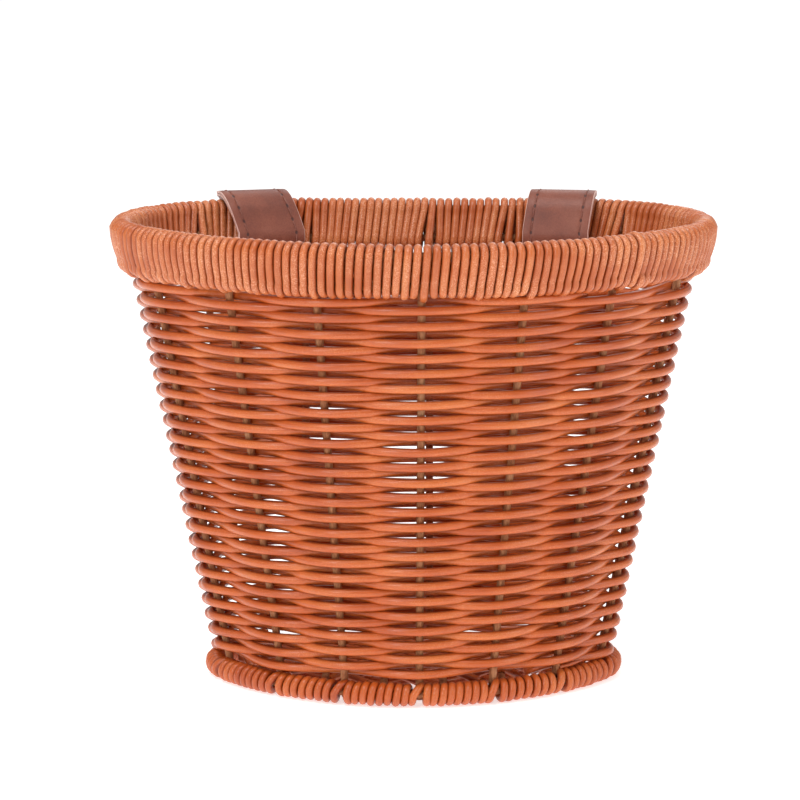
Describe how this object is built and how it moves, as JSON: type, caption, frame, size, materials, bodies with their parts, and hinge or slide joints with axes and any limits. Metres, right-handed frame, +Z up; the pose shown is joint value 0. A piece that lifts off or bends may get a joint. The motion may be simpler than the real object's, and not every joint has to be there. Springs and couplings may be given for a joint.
{
  "type": "handlebar basket",
  "caption": "D-shaped tapered wicker basket with a wrapped rim and foot, hung from a bicycle handlebar by two buckled leather straps.",
  "frame": {"origin": "middle of the footprint, on the surface that the basket stands on", "axes": "+Z up, +X across the basket to the right of someone facing its curved front, +Y towards its flat back and the handlebar"},
  "size_m": [0.27, 0.206, 0.2141],
  "materials": {
    "cane": "extruded orange-brown cane, satin",
    "wire": "coated steel wire",
    "stake": "brown coated steel wire, rough",
    "leather_face": "smooth brown",
    "leather_lining": "pale, unfinished edge",
    "thread": "twisted polyester",
    "steel": "nickel-plated wire"
  },
  "bodies": {
    "basket": {"upper_rim_hoop": "wire", "lower_rim_hoop": "wire", "foot_hoop": "wire", "wall_stakes": "stake", "base_ribs": "stake", "rim_wrap": "cane", "wall_weave": "cane", "foot_wrap": "cane", "base_weave": "cane"},
    "left_strap": {"left_strap_face": "leather_face", "left_strap_lining": "leather_lining", "left_strap_stitching": "thread", "left_strap_keeper": "leather_face"},
    "left_buckle": {"left_buckle_frame": "steel"},
    "left_prong": {"left_buckle_prong": "steel"},
    "right_strap": {"right_strap_face": "leather_face", "right_strap_lining": "leather_lining", "right_strap_stitching": "thread", "right_strap_keeper": "leather_face"},
    "right_buckle": {"right_buckle_frame": "steel"},
    "right_prong": {"right_buckle_prong": "steel"}
  },
  "joints": [
    {"name": "left_strap_slide", "type": "slide", "parent": "basket", "child": "left_strap", "axis": [1, 0, 0], "range_m": [-0.002, 0.003]},
    {"name": "left_buckle_tilt", "type": "hinge", "parent": "left_strap", "child": "left_buckle", "pos_m": [-0.071, 0.09455, 0.19458], "axis": [-1, 0, 0], "range_deg": [0, 6]},
    {"name": "left_prong_swing", "type": "hinge", "parent": "left_buckle", "child": "left_prong", "pos_m": [-0.071, 0.09455, 0.19458], "axis": [-1, 0, 0], "range_deg": [0, 6]},
    {"name": "right_strap_slide", "type": "slide", "parent": "basket", "child": "right_strap", "axis": [1, 0, 0], "range_m": [-0.003, 0.003]},
    {"name": "right_buckle_tilt", "type": "hinge", "parent": "right_strap", "child": "right_buckle", "pos_m": [0.066, 0.09455, 0.19458], "axis": [-1, 0, 0], "range_deg": [0, 6]},
    {"name": "right_prong_swing", "type": "hinge", "parent": "right_buckle", "child": "right_prong", "pos_m": [0.066, 0.09455, 0.19458], "axis": [-1, 0, 0], "range_deg": [0, 6]}
  ]
}
